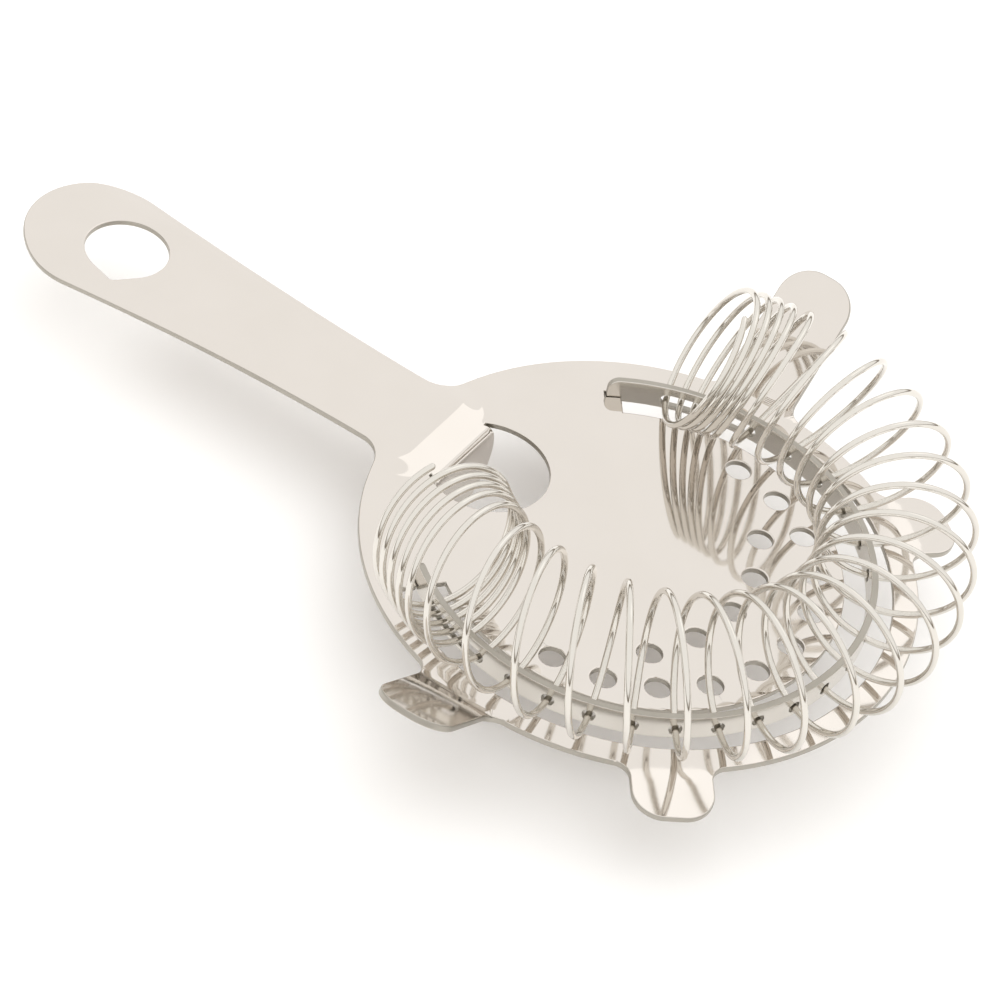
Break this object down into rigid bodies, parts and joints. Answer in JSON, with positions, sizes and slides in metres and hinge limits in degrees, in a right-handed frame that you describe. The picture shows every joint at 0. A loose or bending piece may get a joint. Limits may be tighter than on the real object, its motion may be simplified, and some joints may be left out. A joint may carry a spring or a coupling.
{
  "type": "hawthorne strainer",
  "caption": "Bar strainer: a flat round perforated steel plate with handle, prongs, ears and finger tab, and a wire coil spring round its front edge.",
  "frame": {"origin": "centre of the round plate, on its spring-side face", "axes": "+X towards the front of the plate, away from the handle; +Y towards one side ear; +Z out of the plate on the spring side. The handle runs along -X and the finger tab hangs down -Z"},
  "size_m": [0.1517, 0.1116, 0.0366],
  "materials": {
    "plate_steel": "bright polished stainless steel sheet, bare metal",
    "rail_steel": "rolled stainless strip, bright, bare metal",
    "spring_wire": "bright drawn stainless spring wire, bare metal"
  },
  "bodies": {
    "strainer": {"strainer_plate": "plate_steel", "spring_rail": "rail_steel"},
    "spring": {"coil_spring": "spring_wire"}
  },
  "joints": [
    {"name": "spring_press", "type": "slide", "parent": "strainer", "child": "spring", "axis": [-1, 0, 0], "range_m": [0, 0.0035], "stiffness_N_per_m": 300, "deforming": ["coil_spring"]}
  ]
}
